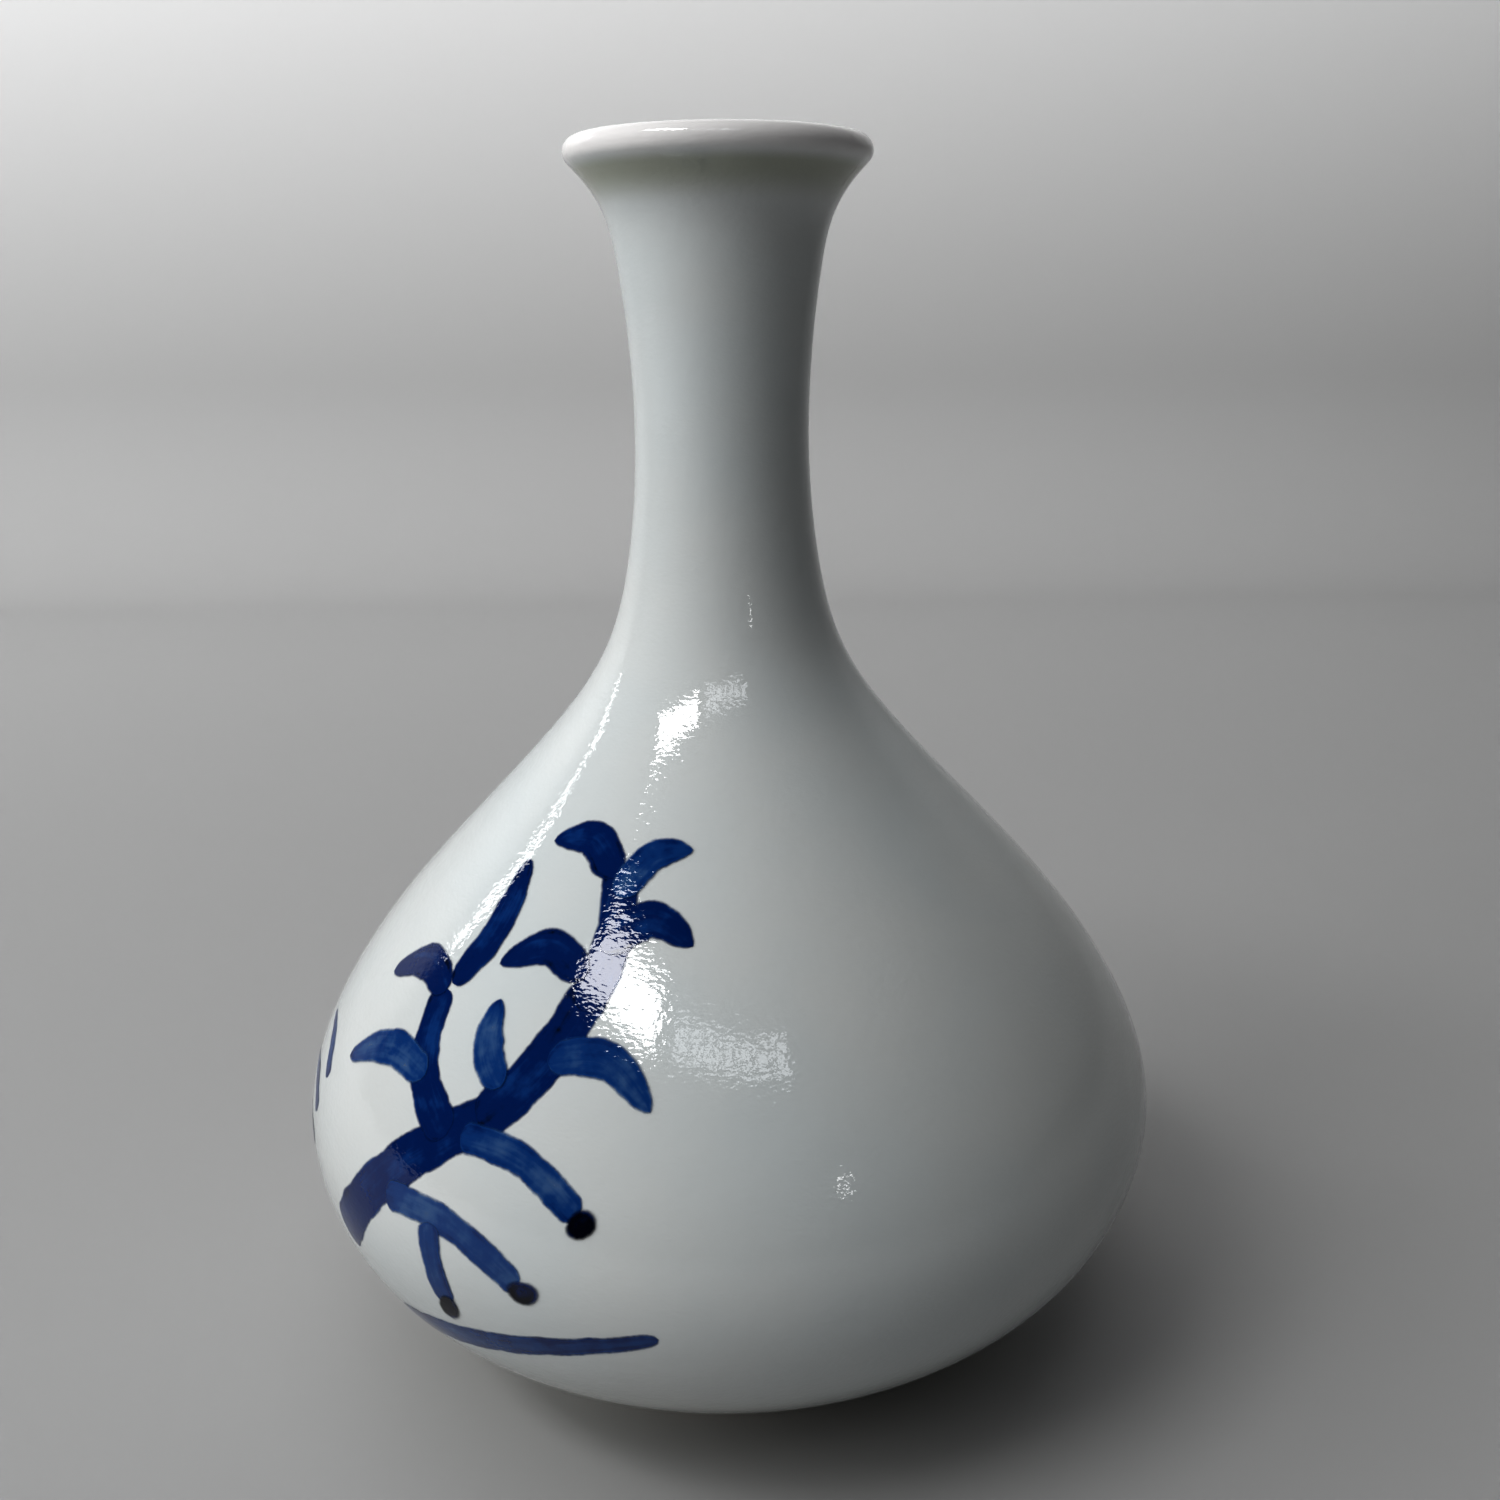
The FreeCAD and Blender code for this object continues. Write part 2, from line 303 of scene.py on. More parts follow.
def glaze_skin_group():
    """The fired glaze's skin: fine ripple for bumps, small changes of gloss, and pinholes."""
    tree, given, result = new_group(
        "glaze_skin",
        [("Place", "NodeSocketVector", None), ("Ripple", "NodeSocketFloat", 1.0),
         ("Gloss", "NodeSocketFloat", 0.06)],
        [("Height", "NodeSocketFloat"), ("Roughness", "NodeSocketFloat"),
         ("Pinholes", "NodeSocketFloat")])
    place = given.outputs["Place"]
    level = add(tree, "ShaderNodeMapping", Vector=place, Scale=(1.0, 1.0, 1.7)).outputs[0]
    ripple = 0.0
    for scale, share in ((1500.0, 0.55), (600.0, 0.60), (85.0, 2.0)):
        wave = maths(tree, "MULTIPLY", noise(tree, level, scale, 1.0, 0.5), share)
        ripple = maths(tree, "ADD", wave, ripple)
    ripple = maths(tree, "MULTIPLY", ripple, given.outputs["Ripple"])
    cells = add(tree, "ShaderNodeTexVoronoi", {"feature": "F1"}, Vector=place, Scale=150.0)
    chance = add(tree, "ShaderNodeSeparateColor", Color=cells.outputs["Color"]).outputs[0]
    chosen = ramp(tree, chance, 0.955, 0.96, style="LINEAR")
    pit = maths(tree, "MULTIPLY", ramp(tree, cells.outputs["Distance"], 0.014, 0.034, 1.0, 0.0),
                chosen)
    height = maths(tree, "SUBTRACT", ripple, maths(tree, "MULTIPLY", pit, 6.0))
    dull = ramp(tree, noise(tree, place, 35.0, 3.0, 0.6), 0.35, 0.75, 0.0, 0.035)
    rough = maths(tree, "ADD", given.outputs["Gloss"], dull)
    tree.links.new(height, result.inputs["Height"])
    tree.links.new(maths(tree, "ADD", rough, maths(tree, "MULTIPLY", pit, 0.3)),
                   result.inputs["Roughness"])
    tree.links.new(pit, result.inputs["Pinholes"])
    return tree


def iron_specks_group():
    """Tiny iron specks in the clay that show through the glaze."""
    tree, given, result = new_group(
        "iron_specks",
        [("Place", "NodeSocketVector", None), ("Density", "NodeSocketFloat", 0.05),
         ("Cells", "NodeSocketFloat", 110.0)],
        [("Specks", "NodeSocketFloat")])
    drift = add(tree, "ShaderNodeTexNoise", Vector=given.outputs["Place"], Scale=900.0, Detail=1.0)
    bent = add(tree, "ShaderNodeVectorMath", {"operation": "MULTIPLY_ADD"},
               i0=drift.outputs["Color"], i1=(0.0004, 0.0004, 0.0004), i2=given.outputs["Place"])
    cells = add(tree, "ShaderNodeTexVoronoi", {"feature": "F1"}, Vector=bent.outputs[0],
                Scale=given.outputs["Cells"])
    parts = add(tree, "ShaderNodeSeparateColor", Color=cells.outputs["Color"])
    chosen = maths(tree, "LESS_THAN", parts.outputs[0], given.outputs["Density"])
    size = ramp(tree, parts.outputs[1], 0.0, 1.0, 0.008, 0.030, style="LINEAR")
    spot = maths(tree, "SUBTRACT", 1.0,
                 maths(tree, "DIVIDE", cells.outputs["Distance"], size), clamp=True)
    tree.links.new(maths(tree, "MULTIPLY", maths(tree, "POWER", spot, 0.6), chosen),
                   result.inputs["Specks"])
    return tree


def glaze_colour_group():
    """Clear glaze over white porcelain: cooler where it lies thicker; paler over the lip, where it
    runs thin, with a painted highlight there; darker and greener above the foot and under the lip,
    where it pools, with painted shade there.
    """
    tree, given, result = new_group(
        "glaze_colour",
        [("Place", "NodeSocketVector", None), ("Thin", "NodeSocketFloat", 1.0),
         ("Specks", "NodeSocketFloat", 0.0), ("Pinholes", "NodeSocketFloat", 0.0)],
        [("Color", "NodeSocketColor")])
    place, thin_and_shade_share = given.outputs["Place"], given.outputs["Thin"]
    drift = ramp(tree, noise(tree, place, 28.0, 3.0, 0.55), 0.32, 0.70)
    colour = blend_colour(tree, drift, GLAZE_WHITE, GLAZE_COOL)
    height = add(tree, "ShaderNodeSeparateXYZ", Vector=place).outputs[2]
    # Painted highlight and shade: the lip band is thin glaze lightened further as a painted
    # highlight, the foot band pooled glaze darkened further as painted shade under the belly.
    for low, high, before, after, tint in GLAZE_TINT_AND_SHADE_BANDS:
        share = ramp(tree, height, low * MM, high * MM, before, after)
        colour = blend_colour(tree, maths(tree, "MULTIPLY", share, thin_and_shade_share), colour, tint)
    # Painted shade under the lip's bead: the flare just below it darkened to olive, pooled glaze
    # darkened further as the shade that falls there.
    under = maths(tree, "MULTIPLY", ramp(tree, height, TOP - 8.0 * MM, TOP - 4.4 * MM, 0.0, 0.75),
                  ramp(tree, height, TOP - 3.9 * MM, TOP - 2.7 * MM, 1.0, 0.0))
    colour = blend_colour(tree, maths(tree, "MULTIPLY", under, thin_and_shade_share), colour, GLAZE_POOL_AND_SHADE_UNDER_LIP)
    colour = blend_colour(tree, maths(tree, "MULTIPLY", given.outputs["Specks"], 0.8), colour,
                          IRON_BROWN)
    colour = blend_colour(tree, maths(tree, "MULTIPLY", given.outputs["Pinholes"], 0.35), colour,
                          PINHOLE_DUST)
    tree.links.new(colour, result.inputs["Color"])
    return tree


def cobalt_paint_group():
    """Brushed cobalt under the glaze: how much paint lies at a spot sets how dark and blue it is.

    Brush runs along and across the stroke, Load is the paint carried and Edge the distance to
    the stroke's side, in mm.
    """
    tree, given, result = new_group(
        "cobalt_paint",
        [("Place", "NodeSocketVector", None), ("Brush", "NodeSocketVector", None),
         ("Load", "NodeSocketFloat", 0.5), ("Edge", "NodeSocketFloat", 1.0),
         ("Streaks", "NodeSocketFloat", 0.3)],
        [("Color", "NodeSocketColor"), ("Cover", "NodeSocketFloat")])
    place, brush = given.outputs["Place"], given.outputs["Brush"]
    streaks = given.outputs["Streaks"]

    def swing(value, share):
        return maths(tree, "MULTIPLY", maths(tree, "SUBTRACT", value, 0.5), share)

    hair_map = add(tree, "ShaderNodeMapping", Vector=brush, Scale=(0.09, 2.6, 1.0)).outputs[0]
    band_map = add(tree, "ShaderNodeMapping", Vector=brush, Scale=(0.13, 0.8, 1.0)).outputs[0]
    amount = given.outputs["Load"]
    for part in (swing(noise(tree, hair_map, 1.0, 4.0, 0.65), streaks),
                 swing(noise(tree, band_map, 1.0, 2.0, 0.5), maths(tree, "MULTIPLY", streaks, 1.4)),
                 swing(noise(tree, place, 750.0, 3.0, 0.6), 0.30),
                 swing(noise(tree, place, 210.0, 3.0, 0.6), 0.95)):
        amount = maths(tree, "ADD", amount, part)
    lumps = maths(tree, "ADD", swing(noise(tree, place, 1700.0, 2.0, 0.6), 0.22),
                  swing(noise(tree, place, 420.0, 2.0, 0.5), 0.42))
    ragged = maths(tree, "ADD", given.outputs["Edge"], lumps)
    tide = maths(tree, "MULTIPLY", ramp(tree, ragged, 0.30, 0.55),
                 ramp(tree, ragged, 0.6, 1.1, 1.0, 0.0))
    amount = maths(tree, "ADD", amount, maths(tree, "MULTIPLY", tide, 0.12))
    colour = blend_colour(tree, ramp(tree, amount, 0.12, 0.42), COBALT_WASH, COBALT_MIDDLE)
    colour = blend_colour(tree, ramp(tree, amount, 0.40, 0.70), colour, COBALT_DEEP)
    colour = blend_colour(tree, ramp(tree, amount, 0.82, 1.12), colour, COBALT_BLACK)
    tree.links.new(colour, result.inputs["Color"])
    cover = ramp(tree, ragged, -0.05, 0.42)
    body = ramp(tree, amount, -0.1, 0.45, 0.66, 1.0)
    tree.links.new(maths(tree, "MULTIPLY", cover, body, clamp=True), result.inputs["Cover"])
    return tree


GLAZE_WHITE = (0.590, 0.606, 0.600, 1)
GLAZE_COOL = (0.560, 0.592, 0.596, 1)      # where the glaze lies thicker
GLAZE_THIN_AND_HIGHLIGHT = (0.760, 0.745, 0.740, 1)      # over the lip, where it is thinnest, and lighter still as a painted highlight on the bead's top
GLAZE_LOW_POOL_AND_SHADE = (0.385, 0.390, 0.325, 1)       # greyer and greener just above the foot, where glaze pools, and darker still as painted shade on the belly's underside
GLAZE_POOL_AND_SHADE_UNDER_LIP = (0.330, 0.345, 0.270, 1)    # run together under the lip, and darker still as painted shade under the bead
IRON_BROWN = (0.10, 0.055, 0.03, 1)
PINHOLE_DUST = (0.35, 0.33, 0.29, 1)
# lower and upper height in mm, share of the tint at each, tint; the lip band adds a painted
# highlight, the foot band painted shade
GLAZE_TINT_AND_SHADE_BANDS = (
    (TOP / MM - 3.4, TOP / MM - 1.9, 0.0, 0.95, GLAZE_THIN_AND_HIGHLIGHT),
    (FOOT_HEIGHT / MM + 1.0, FOOT_HEIGHT / MM + 24.0, 0.85, 0.0, GLAZE_LOW_POOL_AND_SHADE),
)
RIPPLE_DEPTH = 0.035 * MM

COBALT_BLACK = (0.0008, 0.0015, 0.006, 1)
COBALT_DEEP = (0.0002, 0.017, 0.105, 1)
COBALT_MIDDLE = (0.0050, 0.046, 0.180, 1)
COBALT_WASH = (0.0380, 0.112, 0.270, 1)

GLAZE_SKIN = glaze_skin_group()
IRON_SPECKS = iron_specks_group()
GLAZE_COLOUR = glaze_colour_group()
COBALT_PAINT = cobalt_paint_group()


def place_group(tree, group, **sockets):
    node = add(tree, "ShaderNodeGroup", {"node_tree": group}, **sockets)
    return node.outputs


def new_material(name):
    material = bpy.data.materials.new(name)
    material.use_nodes = True
    tree = material.node_tree
    return material, tree, tree.nodes["Principled BSDF"]


def bump(tree, shader, height, distance, strength=1.0):
    node = add(tree, "ShaderNodeBump", Height=height, Distance=distance, Strength=strength)
    tree.links.new(node.outputs[0], shader.inputs["Normal"])


def object_place(tree):
    return tree.nodes.new("ShaderNodeTexCoord").outputs["Object"]


# ---- Materials ----
def glazed(tree, shader, place):
    """The glaze's own gloss and ripple, the same over white and over blue."""
    skin = place_group(tree, GLAZE_SKIN, Place=place, Ripple=1.0, Gloss=0.03)
    tree.links.new(skin["Roughness"], shader.inputs["Roughness"])
    shader.inputs["IOR"].default_value = 1.52
    shader.inputs["Specular IOR Level"].default_value = 0.55
    bump(tree, shader, skin["Height"], RIPPLE_DEPTH)
    return skin


def glaze_material(name, thin=1.0):
    """Clear glaze on white porcelain; thin is how much it takes of the tints at the lip and the foot:
    thinner and pooled glaze, with a painted highlight on the lip's top and painted shade under the
    lip and above the foot.
    """
    material, tree, shader = new_material(name)
    place = object_place(tree)
    skin = glazed(tree, shader, place)
    specks = place_group(tree, IRON_SPECKS, Place=place, Density=0.035, Cells=105.0)
    colour = place_group(tree, GLAZE_COLOUR, Place=place, Thin=thin, Specks=specks["Specks"],
                         Pinholes=skin["Pinholes"])
    tree.links.new(colour["Color"], shader.inputs["Base Color"])
    return material


def bare_clay_material():
    """The bare rim: sanded porcelain with grit, and a faint orange line where the glaze stops."""
    material, tree, shader = new_material("bare_porcelain")
    place = object_place(tree)
    grain = noise(tree, place, 1800.0, 4.0, 0.65)
    cloud = noise(tree, place, 160.0, 3.0, 0.6)
    colour = blend_colour(tree, ramp(tree, cloud, 0.3, 0.7), (0.62, 0.56, 0.47, 1),
                          (0.72, 0.67, 0.58, 1))
    colour = blend_colour(tree, ramp(tree, grain, 0.55, 0.75, 0.0, 0.5), colour,
                          (0.42, 0.34, 0.25, 1))
    height = add(tree, "ShaderNodeSeparateXYZ", Vector=place).outputs[2]
    wavy = maths(tree, "ADD", height, maths(tree, "MULTIPLY", cloud, 0.0006))
    line = ramp(tree, wavy, GLAZE_STOP - 0.5 * MM, GLAZE_STOP + 0.3 * MM, 0.0, 0.8)
    colour = blend_colour(tree, line, colour, (0.50, 0.26, 0.11, 1))
    tree.links.new(colour, shader.inputs["Base Color"])
    shader.inputs["Roughness"].default_value = 0.82
    bump(tree, shader, grain, 0.05 * MM, 0.7)
    return material


def bisque_material():
    """Fired white clay under the glaze."""
    material, tree, shader = new_material("fired_clay")
    place = object_place(tree)
    grain = noise(tree, place, 1200.0, 4.0, 0.6)
    colour = blend_colour(tree, ramp(tree, grain, 0.3, 0.7), (0.74, 0.72, 0.66, 1),
                          (0.82, 0.80, 0.76, 1))
    tree.links.new(colour, shader.inputs["Base Color"])
    shader.inputs["Roughness"].default_value = 0.75
    bump(tree, shader, grain, 0.04 * MM, 0.6)
    return material


def cobalt_material(name, streaks):
    """Cobalt under the glaze, from the stroke's own map, load and distance to its edge."""
    material, tree, shader = new_material(name)
    place = object_place(tree)
    brush = add(tree, "ShaderNodeUVMap", {"uv_map": "brush"}).outputs[0]
    load = add(tree, "ShaderNodeAttribute", {"attribute_name": "paint_load"}).outputs["Fac"]
    edge = add(tree, "ShaderNodeAttribute", {"attribute_name": "paint_edge"}).outputs["Fac"]
    paint = place_group(tree, COBALT_PAINT, Place=place, Brush=brush, Load=load, Edge=edge,
                        Streaks=streaks)
    tree.links.new(paint["Color"], shader.inputs["Base Color"])
    tree.links.new(paint["Cover"], shader.inputs["Alpha"])
    glazed(tree, shader, place)
    return material


# ======================================================================================
# Glaze coats, foot ring and clay
# ======================================================================================

def inner_side(place, square, depth=GLAZE):
    return place - square * depth


def outer_glaze():
    """Glaze from the foot ring's bare rim up the outside and over the lip, closed by its back."""
    belly, belly_square = rows_along(outside)
    bead, bead_square = arc_rows(LIP_OUTER_ANGLE, LIP_INNER_ANGLE, 28)
    edge = 0.12 * MM
    foot = np.array([[FOOT_RADIUS - edge, GLAZE_STOP], [FOOT_RADIUS, GLAZE_STOP + edge],
                     [FOOT_RADIUS, (GLAZE_STOP + FOOT_HEIGHT) / 2]])
    face = np.vstack([foot, belly, bead[1:]])
    back = np.vstack([[[FOOT_RADIUS - GLAZE, FOOT_HEIGHT]], inner_side(belly, belly_square)[2:],
                      inner_side(bead, bead_square)[1:]])
    back = np.vstack([[[FOOT_RADIUS - GLAZE, GLAZE_STOP]], back[::2], back[-1:]])
    rings = np.vstack([face, back[::-1]])
    mesh = turned_mesh("outer_glaze_skin", rings)
    piece = add_object("outer_glaze_coat", mesh, replaces=["outer_glaze"])
    mesh.materials.append(glaze_material("outer_glaze_porcelain"))
    return piece


def inner_glaze():
    wall, square = rows_along(throat, 1.3 * MM)
    back = wall + square * GLAZE
    back[0] = (0.0, wall[0][1] - GLAZE)
    back = np.vstack([back[::2], back[-1:]])
    rings = np.vstack([wall, back[::-1]])
    mesh = turned_mesh("inner_glaze_skin", rings[::-1], around=160)
    piece = add_object("inner_glaze_coat", mesh, replaces=["inner_glaze"])
    mesh.materials.append(glaze_material("inner_glaze_porcelain", thin=0.0))
    return piece


def rounded_corner(centre, radius, first, last, steps=6):
    turn = np.radians(np.linspace(first, last, steps + 1))
    return np.array(centre) + radius * np.stack([np.cos(turn), np.sin(turn)], 1)


def foot_ring():
    """The bare ring the bottle stands on, its two lower edges rounded by sponging."""
    r = FOOT_EDGE_ROUND
    rings = np.vstack([
        [[RECESS_RADIUS, FOOT_HEIGHT], [RECESS_RADIUS, FOOT_HEIGHT / 2]],
        rounded_corner((RECESS_RADIUS + r, r), r, 180, 270),
        rounded_corner((FOOT_CLAY_RADIUS - r, r), r, 270, 360),
        [[FOOT_CLAY_RADIUS, FOOT_HEIGHT / 2], [FOOT_CLAY_RADIUS, FOOT_HEIGHT]],
    ])
    mesh = turned_mesh("foot_ring_clay", rings)
    piece = add_object("foot_ring_clay", mesh, replaces=["foot_ring"])
    mesh.materials.append(bare_clay_material())
    return piece


def base_glaze():
    """Glaze in the recess: flat, with a small rise where it meets the foot ring's wall."""
    rise = 0.9 * MM
    fillet = rounded_corner((RECESS_RADIUS - rise, RECESS_TOP - rise), rise, 90, 8, 7)
    rings = np.vstack([
        [[0.0, RECESS_TOP + GLAZE], [0.0, RECESS_TOP], [8 * MM, RECESS_TOP],
         [15 * MM, RECESS_TOP]], fillet,
        [[RECESS_RADIUS, RECESS_TOP - rise], [RECESS_RADIUS, RECESS_TOP + GLAZE],
         [12 * MM, RECESS_TOP + GLAZE]]])
    mesh = turned_mesh("base_glaze_skin", rings[::-1], around=160)
    piece = add_object("base_glaze_coat", mesh, replaces=["base_glaze"])
    mesh.materials.append(glaze_material("base_glaze_porcelain", thin=0.0))
    return piece


# ======================================================================================
# Brushwork: (degrees round from the front, rise above the foot ring in mm)
# ======================================================================================

dense_along = np.linspace(0, outside.length, 4000)
dense_place = outside.at(dense_along)[0]


def along_at(height):
    return np.interp(height, dense_place[:, 1], dense_along)


def glaze_spots(turn, along, lift):
    """Points a little above the glaze, from radians round and length up the wall, and normals."""
    place, pace = outside.at(along)
    square = np.stack([pace[:, 1], -pace[:, 0]], 1)
    radius = place[:, 0] + square[:, 0] * lift
    height = place[:, 1] + square[:, 1] * lift
    spots = np.stack([radius * np.sin(turn), -radius * np.cos(turn), height], 1)
    normals = np.stack([square[:, 0] * np.sin(turn), -square[:, 0] * np.cos(turn), square[:, 1]], 1)
    return spots, normals


def wander(along, seed, wave):
    """A smooth wandering number about 0 along a stroke."""
    total = np.zeros_like(along)
    for k, share in enumerate((0.55, 0.30, 0.15)):
        phase = math.sin(seed * 12.9898 + k * 78.233) * 43758.5453 % (2 * math.pi)
        total += share * np.sin(along / (wave / 1.9 ** k) * 2 * math.pi + phase)
    return total


BLEED = 0.5                     # mm that a stroke's soft edge adds to its width


class Brush:
    """Collects strokes of one node into one mesh."""

    ACROSS = 13
    STEP = 0.35 * MM

    def __init__(self):
        self.verts, self.normals, self.faces = [], [], []
        self.edge, self.load, self.brush = [], [], []

    def stroke(self, marks, width, load, seed, taper=(0.0, 0.0), pool=(0.12, 0.18), lift=0.03,
               press=0.0, ragged=0.06):
        """A stroke through the marks.

        taper is how much of the width is lost towards each end, pool the extra paint left at
        each end, press a swelling at the middle, and ragged how much the sides wander.
        """
        chart = np.array([(math.radians(turn), along_at(FOOT_HEIGHT + rise * MM))
                          for turn, rise in marks])
        radius = outside.at(chart[:, 1])[0][:, 0]
        scale = radius.mean()
        line = SmoothLine(np.stack([chart[:, 0] * scale, chart[:, 1]], 1))
        steps = max(12, int(line.length / self.STEP))
        along = np.linspace(0, line.length, steps + 1)
        spine, _ = line.at(along)
        turn, up = spine[:, 0] / scale, spine[:, 1]
        local = outside.at(up)[0][:, 0]
        pace = np.stack([np.gradient(turn) * local, np.gradient(up)], 1)
        pace /= np.linalg.norm(pace, axis=1, keepdims=True)
        side = np.stack([-pace[:, 1], pace[:, 0]], 1)
        share = along / line.length
        half = (width + BLEED) * MM / 2 * (1 - taper[0] * (1 - share) ** 1.5 - taper[1] * share ** 1.5
                                 + press * np.sin(math.pi * share))
        cap = width * MM * 0.42
        for distance in (along, line.length - along):
            near = np.clip(1 - distance / cap, 0, 1)
            half = half * np.sqrt(np.clip(1 - near ** 2, 0.0, 1))
        ends = pool[0] * np.exp(-along / (1.6 * MM)) + pool[1] * np.exp(
            -(line.length - along) / (1.8 * MM))
        across = np.linspace(-1, 1, self.ACROSS)
        across = np.sign(across) * np.abs(across) ** 0.75
        first = len(self.verts)
        shifts = {1: 1 + ragged * wander(along, seed, 7 * MM),
                  -1: 1 + ragged * wander(along, seed + 3.3, 6 * MM)}
        for v in across:
            reach = half * v * shifts[1 if v >= 0 else -1]
            spots, normals = glaze_spots(turn + reach * side[:, 0] / local,
                                         up + reach * side[:, 1], lift * MM)
            self.verts.extend(spots.tolist())
            self.normals.extend(normals.tolist())
            width_here = half * shifts[1 if v >= 0 else -1]
            self.edge.extend((width_here * (1 - abs(v)) / MM).tolist())
            self.load.extend((load + ends + 0.05 * wander(along, seed + 7.1, 16 * MM)).tolist())
            self.brush.extend(np.stack([along / MM, reach / MM + seed * 5.0], 1).tolist())
        rows = steps + 1
        for j in range(self.ACROSS - 1):
            for i in range(steps):
                a = first + j * rows + i
                self.faces.append((a, a + 1, a + rows + 1, a + rows))

    def dab(self, mark, radius, load, seed, lift=0.06, long=1.25, tilt=30.0):
        """A round dab where the loaded brush rests, a little longer than it is wide."""
        turn = math.radians(mark[0])
        up = float(along_at(FOOT_HEIGHT + mark[1] * MM))
        local = outside.at([up])[0][0, 0]
        angles = np.linspace(0, 2 * math.pi, 41)[:-1]
        outline = 1 + 0.05 * np.sin(angles * 2 + seed) + 0.03 * np.sin(angles * 3 + seed * 2.3)
        rings = np.linspace(0, 1, 9)[1:]
        first = len(self.verts)
        lean = math.radians(tilt)

        def put(x, y, edge, extra):
            s = x * long * math.cos(lean) - y * math.sin(lean)
            t = x * long * math.sin(lean) + y * math.cos(lean)
            spots, normals = glaze_spots(turn + s / local, up + t, lift * MM)
            self.verts.extend(spots.tolist())
            self.normals.extend(normals.tolist())
            self.edge.extend(edge.tolist())
            self.load.extend((np.zeros_like(s) + load + extra).tolist())
            self.brush.extend(np.stack([s / MM, t / MM + seed * 5], 1).tolist())

        put(np.zeros(1), np.zeros(1), np.array([radius]), 0.1)
        for share in rings:
            x = radius * MM * share * outline * np.cos(angles)
            y = radius * MM * share * outline * np.sin(angles)
            put(x, y, radius * (1 - share) + np.zeros_like(x), 0.1 * (1 - share))
        count = len(angles)
        for k in range(count):
            self.faces.append((first, first + 1 + k, first + 1 + (k + 1) % count))
        for r in range(len(rings) - 1):
            for k in range(count):
                a = first + 1 + r * count + k
                b = first + 1 + r * count + (k + 1) % count
                self.faces.append((a, a + count, b + count, b))

    def finish(self, name, material, replaced):
        mesh = bpy.data.meshes.new(name)
        mesh.from_pydata(self.verts, [], self.faces)
        for label, values in (("paint_edge", self.edge), ("paint_load", self.load)):
            layer = mesh.attributes.new(label, "FLOAT", "POINT")
            layer.data.foreach_set("value", np.array(values, np.float32))
        corners = np.zeros(len(mesh.loops), np.int64)
        mesh.loops.foreach_get("vertex_index", corners)
        layer = mesh.uv_layers.new(name="brush")
        layer.data.foreach_set("uv", np.array(self.brush, np.float32)[corners].ravel())
        flip = np.array(self.normals)
        mesh.update()
        facing = sum(Vector(flip[p.vertices[0]]).dot(p.normal) for p in mesh.polygons)
        if facing < 0:
            mesh.flip_normals()
        mesh.shade_smooth()
        mesh.normals_split_custom_set_from_vertices(flip.tolist())
        piece = add_object(name, mesh, replaces=[replaced])
        mesh.materials.append(material)
        return piece


BOUGH = (
    (((-56.0, 27.0), (-44.0, 40.0), (-31.0, 48.5)), 5.3),
    (((-33.0, 47.0), (-26.0, 53.5), (-21.5, 60.5)), 5.2),
    (((-22.5, 58.0), (-20.5, 64.5), (-23.5, 70.5)), 4.4),
    (((-37.0, 45.0), (-45.0, 49.5), (-48.5, 56.5)), 4.4),
)
GROUND = (((-47.0, 19.5), (-27.0, 24.5), (-8.0, 29.5)), 3.7)
STEMS = (
    (((-35.0, 45.5), (-25.5, 45.0), (-17.5, 41.0)), 3.1),
    (((-45.0, 37.0), (-33.5, 37.0), (-24.0, 33.0)), 3.1),
    (((-37.0, 36.5), (-36.0, 31.5), (-34.5, 27.5)), 2.9),
)
BERRIES = ((-17.0, 40.5, 35.0), (-23.5, 32.5, 10.0), (-34.5, 27.0, 80.0))
DEEP_LEAVES = (
    (((-24.0, 69.0), (-32.0, 72.0), (-43.0, 71.0)), 4.6),
    (((-22.0, 63.0), (-14.5, 66.0), (-6.0, 64.0)), 4.8),
    (((-23.5, 60.5), (-31.0, 62.5), (-40.0, 60.0)), 4.6),
    (((-48.0, 56.0), (-55.0, 57.5), (-64.0, 54.5)), 4.6),
    (((-47.5, 57.0), (-44.5, 62.5), (-46.5, 69.0)), 4.4),
)
PALE_LEAVES = (
    (((-44.0, 49.0), (-53.0, 49.5), (-63.0, 45.5)), 4.4),
    (((-25.5, 53.5), (-17.5, 54.5), (-10.0, 50.5)), 4.4),
    (((-31.0, 50.5), (-35.5, 53.5), (-36.5, 57.5)), 4.2),
    (((-22.0, 67.5), (-15.5, 71.5), (-7.5, 72.0)), 4.0),
)
SIDE_LEAVES = (
    (((-68.0, 41.0), (-73.0, 44.0), (-80.0, 45.0)), 2.4),
    (((-69.0, 36.5), (-74.5, 39.0), (-82.0, 39.0)), 2.4),
    (((-69.5, 32.0), (-75.0, 33.5), (-81.0, 33.0)), 2.2),
)


